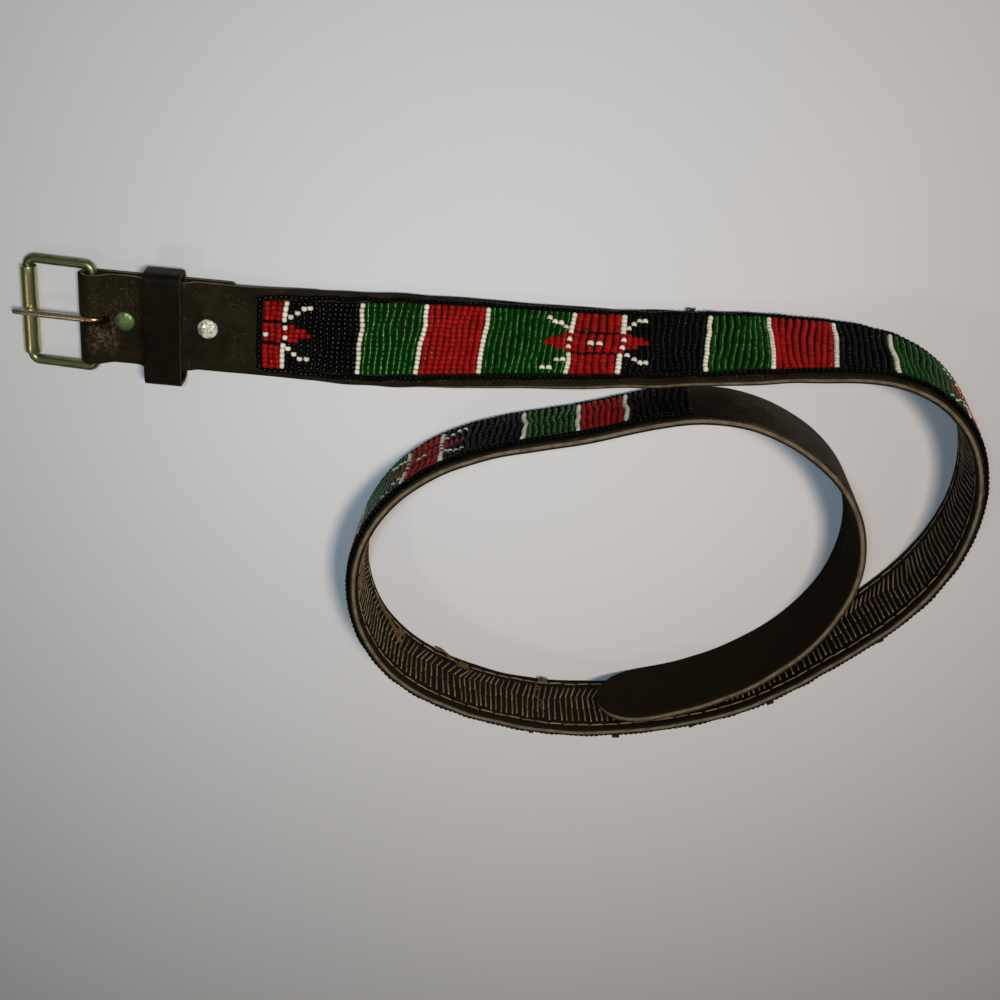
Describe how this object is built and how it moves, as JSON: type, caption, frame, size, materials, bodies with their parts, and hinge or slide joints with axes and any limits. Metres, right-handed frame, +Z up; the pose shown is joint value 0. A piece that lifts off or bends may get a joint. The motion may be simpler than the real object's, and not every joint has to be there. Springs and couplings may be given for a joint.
{
  "type": "beaded belt",
  "caption": "Leather waist belt with a panel of seed beads in blocks, a roller buckle with prong, a keeper and a punched tongue, lying half rolled up.",
  "frame": {"origin": "under the middle of the lying belt's box, on the table", "axes": "+X along the straight run from the buckle towards the loop, +Z up off the table"},
  "size_m": [0.4034, 0.1946, 0.0381],
  "materials": {
    "leather": "worn dark brown leather, semi matt, with raw tan cut edges",
    "antique_brass": "antique brass, satin, greenish",
    "prong_bronze": "warm bronze, satin",
    "rivet_metal": "aged nickel with a green tint, polished",
    "red_beads": "glossy deep red glass",
    "green_beads": "glossy deep green glass",
    "black_beads": "glossy black glass"
  },
  "bodies": {
    "belt": {"strap": "leather", "keeper": "leather", "rivet_cap_front": "rivet_metal", "rivet_back_front": "rivet_metal", "rivet_cap_rear": "rivet_metal", "rivet_back_rear": "rivet_metal", "border_near": "black_beads", "border_far": "black_beads", "border_start": "black_beads", "border_end": "black_beads", "beads_01_red_shield": "red_beads", "beads_02_black_spear": "black_beads", "beads_03_green_plain": "green_beads", "beads_04_red_plain": "red_beads", "beads_05_green_spear": "green_beads", "beads_06_red_shield": "red_beads", "beads_07_black_spear": "black_beads", "beads_08_green_plain": "green_beads", "beads_09_red_plain": "red_beads", "beads_10_black_plain": "black_beads", "beads_11_green_spear": "green_beads", "beads_12_red_shield": "red_beads", "beads_13_black_spear": "black_beads", "beads_14_green_plain": "green_beads", "beads_15_red_plain": "red_beads", "beads_16_green_spear": "green_beads", "beads_17_red_shield": "red_beads", "beads_18_black_spear": "black_beads", "beads_19_green_plain": "green_beads", "beads_20_red_plain": "red_beads", "beads_21_black_plain": "black_beads", "beads_22_green_spear": "green_beads", "beads_23_red_shield": "red_beads", "beads_24_black_spear": "black_beads", "beads_25_green_plain": "green_beads", "beads_26_red_plain": "red_beads", "beads_27_green_spear": "green_beads", "beads_28_red_shield": "red_beads", "beads_29_black_spear": "black_beads", "beads_30_green_plain": "green_beads", "beads_31_red_plain": "red_beads", "beads_32_black_plain": "black_beads"},
    "buckle": {"buckle_frame": "antique_brass"},
    "roller": {"roller": "antique_brass"},
    "prong": {"prong": "prong_bronze"}
  },
  "joints": [
    {"name": "buckle_swing", "type": "hinge", "parent": "belt", "child": "buckle", "pos_m": [-0.16855, 0.06906, 0.0057], "axis": [0, 1, 0], "range_deg": [0, 45]},
    {"name": "prong_swing", "type": "hinge", "parent": "buckle", "child": "prong", "pos_m": [-0.16855, 0.06906, 0.0057], "axis": [0, 1, 0], "range_deg": [0, 55]},
    {"name": "roller_spin", "type": "hinge", "parent": "buckle", "child": "roller", "pos_m": [-0.19545, 0.06906, 0.0034], "axis": [0, 1, 0], "continuous": true}
  ]
}
